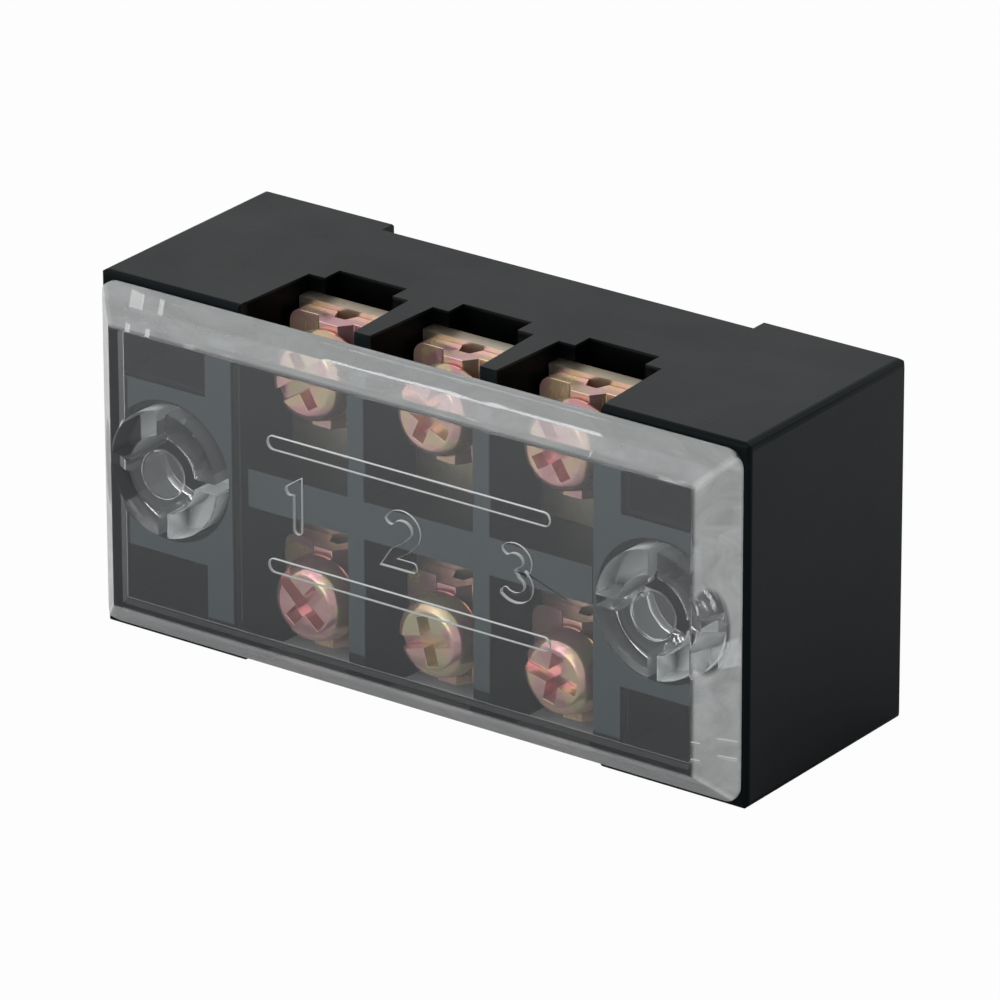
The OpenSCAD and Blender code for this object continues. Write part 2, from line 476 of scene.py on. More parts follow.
class Recipe(NodeBench):
    """A node material under construction."""

    def __init__(self, name: str) -> None:
        """Starts a material with only its Object coordinates."""
        self.material = bpy.data.materials.new(name)
        self.material.use_nodes = True
        super().__init__(self.material.node_tree)
        self.coordinates = self.node("ShaderNodeTexCoord")

    def finish(self, shader: Socket) -> Material:
        """Links the shader to the output and returns the material."""
        self.link(shader, self.node("ShaderNodeOutputMaterial").inputs["Surface"])
        return self.material

    def principled(self, **values: object) -> bpy.types.Node:
        """Adds a Principled shader with these socket values, spaces written as underscores.

        Args:
            values: Socket names and their values.

        Returns:
            The shader node.
        """
        shader = self.node("ShaderNodeBsdfPrincipled")
        for key, value in values.items():
            shader.inputs[key.replace("_", " ")].default_value = value
        return shader

    def plain(self, kind: str, colour: Colour) -> Socket:
        """Adds a shader that has no more to it than a colour.

        Args:
            kind: The node's type name.
            colour: Its colour.

        Returns:
            The shader socket.
        """
        shader = self.node(kind)
        shader.inputs["Color"].default_value = (*colour, 1)
        return shader.outputs[0]

    def layer(self, share: Socket, under: Socket, over: Socket) -> Socket:
        """Lays one shader over another.

        Args:
            share: How much of the upper one there is.
            under: The lower shader.
            over: The upper shader.

        Returns:
            The shader socket.
        """
        made = self.node("ShaderNodeMixShader")
        for source, target in zip((share, under, over), made.inputs):
            self.link(source, target)
        return made.outputs["Shader"]

    def from_behind(self) -> Socket:
        """A mask that is 1 where a surface is met from its inner side."""
        return self.node("ShaderNodeNewGeometry").outputs["Backfacing"]

    def place(self, stretch: Point = (1, 1, 1), turn: Point = (0, 0, 0)) -> Socket:
        """Object coordinates, scaled and turned.

        Args:
            stretch: The factors along X, Y and Z.
            turn: The turn about X, Y and Z, in degrees.

        Returns:
            The vector socket.
        """
        mapping = self.node("ShaderNodeMapping")
        self.link(self.coordinates.outputs["Object"], mapping.inputs["Vector"])
        mapping.inputs["Scale"].default_value = stretch
        mapping.inputs["Rotation"].default_value = tuple(math.radians(a) for a in turn)
        return mapping.outputs["Vector"]

    def axes(self) -> tuple[Socket, Socket, Socket]:
        """The x, y and z of the shaded point in Object coordinates."""
        split = self.node("ShaderNodeSeparateXYZ")
        self.link(self.coordinates.outputs["Object"], split.inputs["Vector"])
        return split.outputs["X"], split.outputs["Y"], split.outputs["Z"]

    def noise(
        self,
        scale: float,
        detail: float = 3.0,
        roughness: float = 0.5,
        distortion: float = 0.0,
        stretch: Point = (1, 1, 1),
        turn: Point = (0, 0, 0),
    ) -> Socket:
        """A noise pattern on Object coordinates.

        Args:
            scale: Its scale, in features a metre.
            detail: How many octaves it has.
            roughness: How strong the fine octaves are.
            distortion: How far it is warped.
            stretch: The factors along X, Y and Z before it.
            turn: The turn before it, in degrees.

        Returns:
            The value socket, about 0.5 on average.
        """
        made = self.node("ShaderNodeTexNoise")
        self.link(self.place(stretch, turn), made.inputs["Vector"])
        made.inputs["Scale"].default_value = scale
        made.inputs["Detail"].default_value = detail
        made.inputs["Roughness"].default_value = roughness
        made.inputs["Distortion"].default_value = distortion
        return made.outputs["Fac"]

    def patches(self, scale: float) -> Socket:
        """Flat patches with sharp borders, each with its own value from 0 to 1.

        Args:
            scale: Their scale, in patches a metre.

        Returns:
            The value socket.
        """
        made = self.node("ShaderNodeTexVoronoi")
        self.link(self.place(), made.inputs["Vector"])
        made.inputs["Scale"].default_value = scale
        split = self.node("ShaderNodeSeparateColor")
        self.link(made.outputs["Color"], split.inputs["Color"])
        return split.outputs["Red"]

    def ramp(self, value: Socket, stops: Sequence[tuple[float, Colour]]) -> Socket:
        """Turns a value into a colour.

        Args:
            value: The value socket.
            stops: Positions and colours.

        Returns:
            The colour socket.
        """
        made = self.node("ShaderNodeValToRGB")
        elements = made.color_ramp.elements
        while len(elements) < len(stops):
            elements.new(0.5)
        for element, (at, colour) in zip(elements, stops):
            element.position = at
            element.color = (*colour, 1)
        self.link(value, made.inputs["Fac"])
        return made.outputs["Color"]

    def blend(self, share: Socket, a: Socket | Colour, b: Socket | Colour) -> Socket:
        """Mixes two colours.

        Args:
            share: How much of the second there is.
            a: The first colour.
            b: The second colour.

        Returns:
            The colour socket.
        """
        made = self.node("ShaderNodeMix", data_type="RGBA")
        self.link(share, made.inputs[0])
        for socket, colour in ((made.inputs[6], a), (made.inputs[7], b)):
            if isinstance(colour, tuple):
                socket.default_value = (*colour, 1)
            else:
                self.link(colour, socket)
        return made.outputs[2]

    def bump(
        self,
        height: Socket,
        distance: float,
        strength: float = 1.0,
        under: Socket | None = None,
    ) -> Socket:
        """A bump from a height.

        Args:
            height: The height socket, 0 to 1.
            distance: The height of 1, in metres.
            strength: How strongly it shows.
            under: An earlier bump that this one lies on.

        Returns:
            The normal socket.
        """
        made = self.node("ShaderNodeBump")
        made.inputs["Distance"].default_value = distance
        made.inputs["Strength"].default_value = strength
        self.link(height, made.inputs["Height"])
        if under is not None:
            self.link(under, made.inputs["Normal"])
        return made.outputs["Normal"]


@dataclass(frozen=True)
class MouldedBlack:
    """Satin black moulded plastic with a fine spark-eroded grain, flow marks and a few scuffs; its front
    faces are painted lighter as front light, its recesses darker as painted shade.
    """

    base: Colour = (0.0030, 0.0046, 0.0054)
    pale: Colour = (0.0050, 0.0070, 0.0080)
    scuff: Colour = (0.020, 0.023, 0.024)
    # Painted front light: the lighter colour given to the faces that look towards -Y, where the front lamp
    # falls.
    lit_tone: Colour = (0.060, 0.072, 0.076)
    # Painted shade: the darkest colour, given to the recesses inside the compartments.
    deep: Colour = (0.0012, 0.0014, 0.0016)
    roughness: float = 0.35
    specular: float = 0.180
    mirror_tint: Colour = (0.86, 0.97, 1.0)
    dull_specular: float = 0.045
    front_y: float = -6.6 * MM
    barrier_drop: float = 0.75 * MM
    mid_z: float = 11.0 * MM
    lit_face_half: Pair = (20.0 * MM, 8.35 * MM)
    lit_face_skin: Pair = (0.01 * MM, 0.04 * MM)
    pocket_half: Pair = (13.3 * MM, 10.8 * MM)
    pocket_front: Pair = (0.81 * MM, 0.87 * MM)
    pocket_back: float = 5.0 * MM
    gloss_edge: Pair = (0.25 * MM, 0.15 * MM)
    soft: float = 0.1 * MM

    def build(self) -> Material:
        """Builds the material."""
        r = Recipe("moulded_black_plastic")
        shader = r.principled(IOR=1.5, Specular_Tint=(*self.mirror_tint, 1))
        clouds = r.noise(90, 4, 0.6, 0.4)
        grain = r.noise(5200, 2, 0.6)
        flow = r.noise(160, 3, 0.5, 0.6, (0.35, 1, 1.4), (0, 14, 6))
        streaks = r.noise(1500, 3, 0.65, 0.2, (0.05, 1, 0.6), (8, 22, 34))
        scuffs = r.span(streaks, 0.0, 0.55, 0.70, 0.80)
        body = r.ramp(clouds, ((0.30, self.base), (0.72, self.pale)))
        x, y, z = r.axes()
        side, height = r.away(x), r.away(z, self.mid_z)
        depth = r.sum(y, self.front_y, "SUBTRACT")
        # Painted front light: the front faces of the housing and its barriers are painted lighter.
        face = r.all_of(
            r.sum(
                r.below(depth, *self.lit_face_skin),
                r.below(r.away(depth, self.barrier_drop), *self.lit_face_skin),
                "MAXIMUM",
            ),
            r.below(side, self.lit_face_half[0], self.soft),
            r.below(height, self.lit_face_half[1], self.soft),
        )
        # Painted shade: the compartments' recesses are painted darkest, with their gloss turned down too.
        painted_pocket_shade = r.all_of(
            r.span(depth, 0.0, 1.0, *self.pocket_front),
            r.below(y, self.pocket_back, 2 * self.soft),
            r.below(side, self.pocket_half[0], self.soft),
            r.below(height, self.pocket_half[1], self.soft),
        )
        front_edge = r.below(depth, *self.gloss_edge)
        outside = r.blend(face, r.blend(scuffs, body, self.scuff), self.lit_tone)
        r.link(r.blend(painted_pocket_shade, outside, self.deep), shader.inputs["Base Color"])
        # Gloss is turned down in that painted shade, and on the housing's front plane and its rounded front
        # edges.
        dull = r.sum(painted_pocket_shade, front_edge, "MAXIMUM")
        r.link(r.span(dull, self.specular, self.dull_specular), shader.inputs["Specular IOR Level"])
        wide = r.span(clouds, self.roughness - 0.05, self.roughness + 0.07, 0.3, 0.7)
        r.link(r.sum(wide, r.span(grain, -0.03, 0.03)), shader.inputs["Roughness"])
        low = r.bump(flow, 0.00006, 0.35)
        r.link(r.bump(grain, 0.000012, 0.45, low), shader.inputs["Normal"])
        return r.finish(shader.outputs["BSDF"])


@dataclass(frozen=True)
class ClearPlastic:
    """Clear moulded polycarbonate: milky bevels with flow streaks, hairline scratches, a faint veil; painted
    highlights on the end bevels, mitres and posts, a painted dark lens by each post and painted shade on the
    rim's back.
    """

    tint: Colour = (0.965, 0.98, 0.985)
    ior: float = 1.585
    roughness: float = 0.015
    haze: float = 0.012
    scratch_rough: float = 0.10
    mirror_tint: Colour = (0.72, 0.75, 0.77)
    # Milky scatter colour, also used for the painted highlights on the bevels and posts.
    milk_and_highlight: Colour = (0.86, 0.87, 0.87)
    # Painted shade: the dark colour painted on the rim's back at its lower edge and one end.
    rim_shade_colour: Colour = (0.010, 0.012, 0.013)
    lamp_tint: Colour = (0.9, 0.915, 0.92)
    veil: float = 0.012
    bevel_milk: float = 0.30
    # Painted highlight: the share of milky scatter on two opposite leaves of each post.
    post_highlight: float = 0.80
    post_haze: float = 0.10
    wall_milk: float = 1.0
    rim_shade_share: float = 0.85
    # Painted light: the end bevels are made brighter, the mitres get a painted highlight, and a dark lens is
    # painted by each post.
    end_light_gain: float = 1.75
    mitre_highlight_gain: float = 1.35
    dark_lens_share: float = 0.15
    front_y: float = -8.8 * MM
    mid_z: float = 11.0 * MM
    flat_half: Pair = (20.2 * MM, 8.6 * MM)
    skin: Pair = (-0.32 * MM, -0.20 * MM)
    skin_start: Pair = (0.03 * MM, 0.20 * MM)
    # Where the painted mitre highlight and the painted dark lens lie.
    mitre_highlight_reach: Pair = (0.15 * MM, 0.45 * MM)
    lens_centre: float = 20.9 * MM
    lens_half: Pair = (0.9 * MM, 2.6 * MM)
    lens_rim: Pair = (0.8, 1.1)
    groove_inset: float = 1.0 * MM
    groove_floor: Pair = (1.23 * MM, 1.26 * MM)
    groove_mouth: Pair = (1.49 * MM, 0.008 * MM)
    rim_shade_depth: Pair = (2.10 * MM, 2.15 * MM)
    post_centre: float = 17.1 * MM
    post_reach: float = 3.95 * MM
    post_rim: Pair = (0.98, 0.04)
    post_root: Pair = (1.55 * MM, 1.80 * MM)
    leaf_slope: Pair = (-3.5 * MM * MM, -1.0 * MM * MM)
    soft: float = 0.1 * MM

    def build(self) -> Material:
        """Builds the material. Lamps reach through it, so that what is behind it is lit."""
        r = Recipe("clear_polycarbonate")
        shader = r.principled(
            Base_Color=(*self.tint, 1),
            IOR=self.ior,
            Transmission_Weight=1.0,
            Specular_Tint=(*self.mirror_tint, 1),
        )
        waves = r.noise(170, 2, 0.45, 0.8, (0.5, 1, 1.3))
        specks = r.noise(2600, 3, 0.6)
        hairlines = r.noise(2400, 2, 0.7, 0.0, (0.03, 1, 0.9), (0, 24, 0))
        scratch = r.span(hairlines, 0.0, 1.0, 0.70, 0.78)
        haze = r.span(specks, self.roughness, self.roughness + self.haze, 0.45, 0.8)
        r.link(r.sum(haze, r.sum(scratch, self.scratch_rough, "MULTIPLY")), shader.inputs["Roughness"])
        low = r.bump(waves, 0.00008, 0.30)
        r.link(r.bump(scratch, 0.000004, 0.3, low), shader.inputs["Normal"])
        body = r.layer(self.milk_and_painted_light(r), shader.outputs["BSDF"], r.plain("ShaderNodeBsdfDiffuse", self.milk_and_highlight))
        # Painted shade on the rim's back, at its lower edge and one end.
        rim_shaded = r.layer(self.rim_shade(r), body, r.plain("ShaderNodeBsdfDiffuse", self.rim_shade_colour))
        path = r.node("ShaderNodeLightPath")
        through = r.sum(path.outputs["Is Shadow Ray"], path.outputs["Is Diffuse Ray"], "MAXIMUM")
        return r.finish(r.layer(through, rim_shaded, r.plain("ShaderNodeBsdfTransparent", self.lamp_tint)))

    def depth(self, r: Recipe) -> Socket:
        """How far a point lies behind the flat front."""
        return r.sum(r.axes()[1], self.front_y, "SUBTRACT")

    def rim_shade(self, r: Recipe) -> Socket:
        """Where the rim's back is painted with shade as dark as the housing, at the lower edge and one end.

        Args:
            r: The recipe under construction.

        Returns:
            The share of the painted shade.
        """
        x, _, z = r.axes()
        end = r.below(x, -self.flat_half[0] + self.soft, self.soft)
        foot = r.below(r.sum(z, self.mid_z, "SUBTRACT"), -self.flat_half[1] + self.soft, self.soft)
        back = r.span(self.depth(r), 0.0, self.rim_shade_share, *self.rim_shade_depth)
        return r.all_of(back, r.sum(end, foot, "MAXIMUM"))

    def milk_and_painted_light(self, r: Recipe) -> Socket:
        """How milky each part is, painted light included: the grooves' walls and bevels most, the flat front
        hardly; the end bevels are painted brighter, the mitres get a painted highlight and a painted dark
        lens lies by each post.

        Args:
            r: The recipe under construction.

        Returns:
            The share of milky scatter, painted light included.
        """
        x, _, z = r.axes()
        depth = self.depth(r)
        beyond_x = r.sum(r.away(x), self.flat_half[0], "SUBTRACT")
        beyond_z = r.sum(r.away(z, self.mid_z), self.flat_half[1], "SUBTRACT")
        outwards = r.sum(beyond_x, beyond_z, "MAXIMUM")
        streaks = r.noise(420, 4, 0.62, 1.4, (0.35, 1.0, 1.0))
        lead = r.sum(beyond_x, beyond_z, "SUBTRACT")
        bevels = r.all_of(
            r.span(r.sum(outwards, depth, "SUBTRACT"), 0.0, 1.0, *self.skin),
            r.span(depth, 0.0, 1.0, *self.skin_start),
            r.span(streaks, self.bevel_milk * 0.8, self.bevel_milk * 1.15, 0.3, 0.7),
            # Painted light: brighter end bevels, a highlight along the mitres, a dark lens by each post.
            r.span(lead, 1.0, self.end_light_gain, -self.soft, self.soft),
            r.span(r.away(lead), self.mitre_highlight_gain, 1.0, *self.mitre_highlight_reach),
            r.span(self.ellipse(r, self.lens_centre, self.lens_half), self.dark_lens_share, 1.0, *self.lens_rim),
            r.span(r.from_behind(), 1.0, 0.0),
        )
        walls = r.all_of(
            r.span(depth, 0.0, self.wall_milk, *self.groove_floor),
            r.below(depth, *self.groove_mouth),
            r.below(outwards, -self.groove_inset, 2 * self.soft),
        )
        milk_and_highlight = r.sum(bevels, self.posts(r), "MAXIMUM")
        return r.sum(r.sum(milk_and_highlight, walls, "MAXIMUM"), self.veil, "MAXIMUM")

    def ellipse(self, r: Recipe, centre: float, half: Pair) -> Socket:
        """Measures from the middle of an ellipse at either end of the strip.

        Args:
            r: The recipe under construction.
            centre: The ellipse's distance from the middle of the strip.
            half: Its half width and half height.

        Returns:
            The squared distance, 1 on the ellipse.
        """
        x, _, z = r.axes()
        across = r.sum(r.away(r.away(x), centre), 1.0 / half[0], "MULTIPLY")
        along = r.sum(r.away(z, self.mid_z), 1.0 / half[1], "MULTIPLY")
        return r.sum(r.sum(across, across, "MULTIPLY"), r.sum(along, along, "MULTIPLY"))

    def posts(self, r: Recipe) -> Socket:
        """Painted highlight on the split posts: two opposite leaves of each are much milkier, the others
        little.

        Args:
            r: The recipe under construction.

        Returns:
            The share of milky scatter, the painted highlight included.
        """
        x, _, z = r.axes()
        end = r.node("ShaderNodeMath", operation="SIGN")
        r.link(x, end.inputs[0])
        from_axis = r.sum(x, r.sum(end.outputs["Value"], self.post_centre, "MULTIPLY"), "SUBTRACT")
        slope = r.sum(from_axis, r.sum(z, self.mid_z, "SUBTRACT"), "MULTIPLY")
        return r.all_of(
            r.span(slope, self.post_highlight, self.post_haze, *self.leaf_slope),
            r.below(self.ellipse(r, self.post_centre, (self.post_reach, self.post_reach)), *self.post_rim),
            r.span(self.depth(r), 0.0, 1.0, *self.post_root),
        )


@dataclass(frozen=True)
class PassivatedZinc:
    """Yellow-pink passivated zinc: the film's colour drifts, with brushed scratches and stains."""

    name: str
    colours: tuple[Colour, Colour, Colour, Colour]
    drift: float = 420.0
    roughness: float = 0.20
    metal: float = 0.72
    patch: float = 620.0
    patch_share: float = 0.13
    stops: tuple[float, float, float, float] = (0.36, 0.48, 0.57, 0.66)
    stain: Colour = (0.30, 0.17, 0.10)

    def build(self) -> Material:
        """Builds the material."""
        r = Recipe(self.name)
        shader = r.principled(Metallic=self.metal)
        patches = r.span(r.patches(self.patch), -self.patch_share, self.patch_share)
        film = r.sum(r.noise(self.drift, 2, 0.5, 0.9), patches)
        body = r.ramp(film, tuple(zip(self.stops, self.colours)))
        stains = r.span(r.noise(900, 4, 0.7, 0.5), 0.0, 0.6, 0.60, 0.74)
        r.link(r.blend(stains, body, self.stain), shader.inputs["Base Color"])
        lines = r.noise(5200, 3, 0.7, 0.0, (1, 1, 0.06), (0, 37, 0))
        wide = r.span(film, self.roughness - 0.05, self.roughness + 0.08, 0.3, 0.7)
        r.link(r.sum(wide, r.span(lines, -0.05, 0.06)), shader.inputs["Roughness"])
        dents = r.bump(r.noise(1300, 2, 0.5), 0.00003, 0.5)
        r.link(r.bump(lines, 0.000006, 0.5, dents), shader.inputs["Normal"])
        return r.finish(shader.outputs["BSDF"])


@dataclass(frozen=True)
class PlatedBar:
    """Dull plated brass strip with rolling lines and a few dark tarnish spots."""

    pale: Colour = (0.72, 0.66, 0.55)
    deep: Colour = (0.60, 0.50, 0.36)
    tarnish: Colour = (0.22, 0.16, 0.10)

    def build(self) -> Material:
        """Builds the material."""
        r = Recipe("plated_brass_bar")
        shader = r.principled(Metallic=1.0)
        rolled = r.noise(3800, 3, 0.65, 0.0, (1, 1, 0.05))
        cloud = r.noise(350, 3, 0.6, 0.6)
        body = r.ramp(cloud, ((0.35, self.pale), (0.68, self.deep)))
        spots = r.span(r.noise(1500, 4, 0.7), 0.0, 0.7, 0.64, 0.74)
        r.link(r.blend(spots, body, self.tarnish), shader.inputs["Base Color"])
        r.link(r.sum(r.span(cloud, 0.26, 0.40), r.span(rolled, -0.06, 0.06)), shader.inputs["Roughness"])
        r.link(r.bump(rolled, 0.000006, 0.6), shader.inputs["Normal"])
        return r.finish(shader.outputs["BSDF"])


@dataclass(frozen=True)
class PaleFloor:
    """Matt pale table, white where it is seen, with its own shade round the strip in gloss and glass."""

    colour: Colour = (0.58, 0.58, 0.585)
    lift: float = 0.97
    mirror_lift: float = 0.55
    footprint: Pair = (22.5 * MM, 8.8 * MM)
    shade_reach: Pair = (4 * MM, 60 * MM)

    def build(self) -> Material:
        """Builds the material."""
        r = Recipe("pale_floor")
        lit_tone = r.node("ShaderNodeBsdfDiffuse")
        tone = r.ramp(r.noise(3, 2), ((0.3, self.colour), (0.7, tuple(c * 0.99 for c in self.colour))))
        r.link(tone, lit_tone.inputs["Color"])
        path = r.node("ShaderNodeLightPath")
        mirrored = r.sum(path.outputs["Is Glossy Ray"], path.outputs["Is Transmission Ray"], "MAXIMUM")
        away = r.span(self.distance(r), 0.0, self.mirror_lift, *self.shade_reach)
        direct = r.sum(path.outputs["Is Camera Ray"], self.lift, "MULTIPLY")
        seen = r.sum(direct, r.sum(mirrored, away, "MULTIPLY"), "MAXIMUM")
        table = r.layer(seen, lit_tone.outputs["BSDF"], r.plain("ShaderNodeEmission", (1.0, 1.0, 1.0)))
        gone = r.plain("ShaderNodeBsdfTransparent", (1.0, 1.0, 1.0))
        return r.finish(r.layer(r.from_behind(), table, gone))

    def distance(self, r: Recipe) -> Socket:
        """How far a point of the table lies outside the strip's footprint, in metres.

        Args:
            r: The recipe under construction.

        Returns:
            The distance socket, 0 under the strip.
        """
        beyond = [r.sum(r.away(v), half, "SUBTRACT") for v, half in zip(r.axes(), self.footprint)]
        return r.sum(r.sum(*beyond, "MAXIMUM"), 0.0, "MAXIMUM")


# ---------------------------------------------------------------------------
# The strip's own sub-assemblies
# ---------------------------------------------------------------------------


@dataclass
class Housing:
    """The black moulded housing. Its solid is right, so the piece is that solid with rounded edges."""

    finish: MouldedBlack = field(default_factory=MouldedBlack)
    front_round: float = 0.38 * MM
    edge_round: float = 0.10 * MM

    def gauge(self) -> Piece:
        """Models the block that the housing must lie in, with its four front edges rounded."""
        low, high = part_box("housing")
        block = add_block("front_gauge", low, (high.x, high.y + MM, high.z))
        edit_parts(block, Part.EDGE, lambda a, b: max(a.y, b.y) < low.y + MM)
        bpy.ops.mesh.bevel(offset=self.front_round, segments=5, affect="EDGES")
        leave_edit()
        return block

    def build(self) -> Piece:
        """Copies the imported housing, merges it, rounds its edges and dresses it.

        Returns:
            The finished piece.
        """
        piece = copy_piece(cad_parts["housing"], "moulded_housing")
        clean_mesh(piece)
        soften(piece, self.edge_round, 2, 28)
        use_tool(piece, self.gauge(), Cut.KEEP_COMMON)
        clean_mesh(piece)
        smooth(piece, 30)
        return dress(piece, self.finish.build(), "root", ("housing",))


@dataclass
class ClearCover:
    """The clear cover: bevelled shell, split posts, gate pads, marker lines and pole numerals.

    Lengths are in millimetres, depths from the housing's front plane, growing towards the feet.
    """

    lip: float = 0.2
    inset: Pair = (0.1, 0.2)
    rim: float = 1.85
    plate_back: float = -0.7
    corner: float = 1.1
    outer_round: float = 0.08
    inner_round: float = 0.04
    post_centre: float = 17.1
    post_radius: float = 3.85
    post_bore: float = 2.35
    post_tip: float = 3.0
    post_nose: float = 0.28
    post_sink: float = 0.25
    post_cut: float = 0.65
    pad_radius: float = 1.5
    pad_height: float = 0.3
    pad_crown: tuple[Pair, ...] = ((0.12, 0.0), (0.03, 0.05), (0.0, 0.14))
    pad_sink: float = 0.2
    line_half: float = 10.3
    line_shift: float = 0.4
    line_width: float = 0.9
    line_heights: Pair = (4.0, -3.55)
    relief: float = 0.28
    relief_over: float = 0.2
    wall_round: float = 0.09
    end_share: float = 0.46
    numeral_stroke: float = 0.65
    numeral_height: float = 3.65
    numeral_places: tuple[float, float, float] = (-7.53, 0.0, 7.8)
    numeral_rise: float = 0.25
    seat_gap: float = 0.02
    finish: ClearPlastic = field(default_factory=ClearPlastic)

    def __post_init__(self) -> None:
        """Reads the cover's and the housing's places from the frame."""
        low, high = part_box("clear_cover")
        house_low, house_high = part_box("housing")
        self.front = house_low.y
        self.mid_z = (house_low.z + house_high.z) / 2
        self.half_x = high.x - self.inset[0] * MM
        self.half_z = high.z - self.inset[1] * MM - self.mid_z
        self.flat = low.y

    def depth(self, local: float) -> float:
        """The frame's y at a depth in millimetres from the housing's front plane."""
        return self.front + local * MM

    def outer(self) -> Piece:
        """Models the outside: a thin lip, 45 degree sides and the flat front."""
        back, lip = self.depth(-self.seat_gap), self.depth(-self.lip)
        rise = lip - self.flat
        shell = add_block(
            "clear_cover_moulding",
            (-self.half_x, lip, self.mid_z - self.half_z),
            (self.half_x, back, self.mid_z + self.half_z),
        )
        front_faces(shell)
        shrink = ((self.half_x - rise) / self.half_x, 1, (self.half_z - rise) / self.half_z)
        draw_out(-rise, shrink, (0, self.flat, self.mid_z))
        leave_edit()
        gauge = add_block(
            "corner_gauge",
            (-self.half_x, self.flat - MM, self.mid_z - self.half_z),
            (self.half_x, back + MM, self.mid_z + self.half_z),
        )
        edit_parts(gauge, Part.EDGE, lambda a, b: abs(a.y - b.y) > MM)
        bpy.ops.mesh.bevel(offset=self.corner * MM, segments=10, affect="EDGES")
        leave_edit()
        use_tool(shell, gauge, Cut.KEEP_COMMON)
        clean_mesh(shell)
        soften(shell, self.outer_round * MM, 3, 20)
        return shell

    def hollow(self) -> Piece:
        """Models the space inside the cover, with its own 45 degree sides and softened edges."""
        start, end = self.depth(self.plate_back), self.depth(1.0)
        run = end - start
        inner_x = self.half_x + (self.inset[0] - self.rim + self.plate_back) * MM
        inner_z = self.half_z + (self.inset[1] - self.rim + self.plate_back) * MM
        core = add_block(
            "cover_core",
            (-inner_x - run, start, self.mid_z - inner_z - run),
            (inner_x + run, end, self.mid_z + inner_z + run),
        )
        front_faces(core)
        bpy.ops.transform.resize(
            value=(inner_x / (inner_x + run), 1, inner_z / (inner_z + run)),
            center_override=(0, start, self.mid_z),
        )
        leave_edit()
        soften(core, self.inner_round * MM, 2, 20)
        return core

    def split_post(self, x: float) -> Piece:
        """Models one split post by spinning its section, then cutting it into four leaves.

        Args:
            x: Its centre along the strip, in metres.

        Returns:
            The post.
        """
        root, tip = self.depth(self.plate_back - self.post_sink), self.depth(self.post_tip)
        inner, outer = self.post_bore * MM, self.post_radius * MM
        clear_selection()
        middle = (x + (inner + outer) / 2, (root + tip) / 2, self.mid_z)
        bpy.ops.mesh.primitive_plane_add(size=1, location=middle)
        bpy.context.active_object.scale = (outer - inner, tip - root, 1)
        post = name_new("split_post")
        edit_parts(post, Part.EDGE, lambda a, b: min(a.y, b.y) > tip - TINY)
        bpy.ops.mesh.select_mode(type="VERT")
        bpy.ops.mesh.bevel(offset=self.post_nose * MM, segments=2, affect="VERTICES")
        bpy.ops.mesh.select_all(action="SELECT")
        bpy.ops.mesh.delete(type="ONLY_FACE")
        bpy.ops.mesh.select_all(action="SELECT")
        bpy.ops.mesh.spin(steps=96, angle=2 * math.pi, center=(x, 0, self.mid_z), axis=(0, 1, 0))
        make_consistent(merge=1e-6)
        leave_edit()
        half, reach = self.post_cut / 2 * MM, self.post_radius * MM + MM
        front, back = self.depth(self.plate_back), self.depth(self.post_tip + 1)
        for wide, high in ((half, reach), (reach, half)):
            low, top = (x - wide, front, self.mid_z - high), (x + wide, back, self.mid_z + high)
            use_tool(post, add_block("leaf_cut", low, top), Cut.REMOVE)
        return post

    def pad(self, x: float) -> Piece:
        """Models the round gate pad inside a post, slightly crowned at its edge."""
        back = self.depth(self.plate_back + self.pad_height)
        radius = self.pad_radius * MM
        rings = [(radius - inward * MM, back - down * MM) for inward, down in self.pad_crown]
        rings.append((radius, self.depth(self.plate_back - self.pad_sink)))
        return turned("gate_pad", (x, self.mid_z), rings, 64)

    def groove(self, name: str, path: Sequence[Pair], width: float) -> Piece:
        """Models a round-ended stroke that cuts the back of the front plate.

        Args:
            name: The tool's name.
            path: Points along the stroke, as x and z in metres.
            width: The stroke's width.

        Returns:
            The tool solid.
        """
        front = self.depth(self.plate_back - self.relief)
        back = self.depth(self.plate_back + self.relief_over)
        clear_selection()
        bpy.ops.mesh.primitive_plane_add(size=MM, location=(path[0][0], back, path[0][1]))
        stroke = name_new(name)
        bpy.ops.object.mode_set(mode="EDIT")
        bpy.ops.mesh.select_mode(type="VERT")
        bpy.ops.mesh.select_all(action="SELECT")
        bpy.ops.mesh.merge(type="CENTER")
        bpy.ops.mesh.select_all(action="SELECT")
        for (xa, za), (xb, zb) in zip(path, path[1:]):
            bpy.ops.mesh.extrude_region_move(TRANSFORM_OT_translate={"value": (xb - xa, 0, zb - za)})
        bpy.ops.mesh.select_all(action="SELECT")
        bpy.ops.mesh.extrude_region_move(TRANSFORM_OT_translate={"value": (0, front - back, 0)})
        leave_edit()
        wall = stroke.modifiers.new("stroke", "SOLIDIFY")
        wall.thickness = width
        wall.offset = 0
        wall.use_even_offset = True
        bpy.ops.object.modifier_apply(modifier=wall.name)
        ends = (path[0], path[-1])

        def at_end(a: Vector, b: Vector) -> bool:
            """Whether an edge is one of the four uprights at the stroke's ends."""
            upright = abs(a.y - b.y) > 0.1 * MM and math.hypot(a.x - b.x, a.z - b.z) < 1e-6
            near = any(abs(math.hypot(a.x - x, a.z - z) - width / 2) < 0.02 * MM for x, z in ends)
            return upright and near

        edit_parts(stroke, Part.EDGE, at_end)
        bpy.ops.mesh.bevel(offset=width * self.end_share, segments=6, affect="EDGES")
        make_consistent()
        leave_edit()
        soften(stroke, self.wall_round * MM, 3, 60)
        return stroke

    def numeral_path(self, digit: int, x: float) -> list[Pair]:
        """The centre line of a pole numeral.

        Args:
            digit: 1, 2 or 3.
            x: The numeral's centre, in metres.

        Returns:
            Points as x and z, in metres. The shapes below have x in mm and z in half heights.
        """
        half = (self.numeral_height - self.numeral_stroke) / 2 * MM

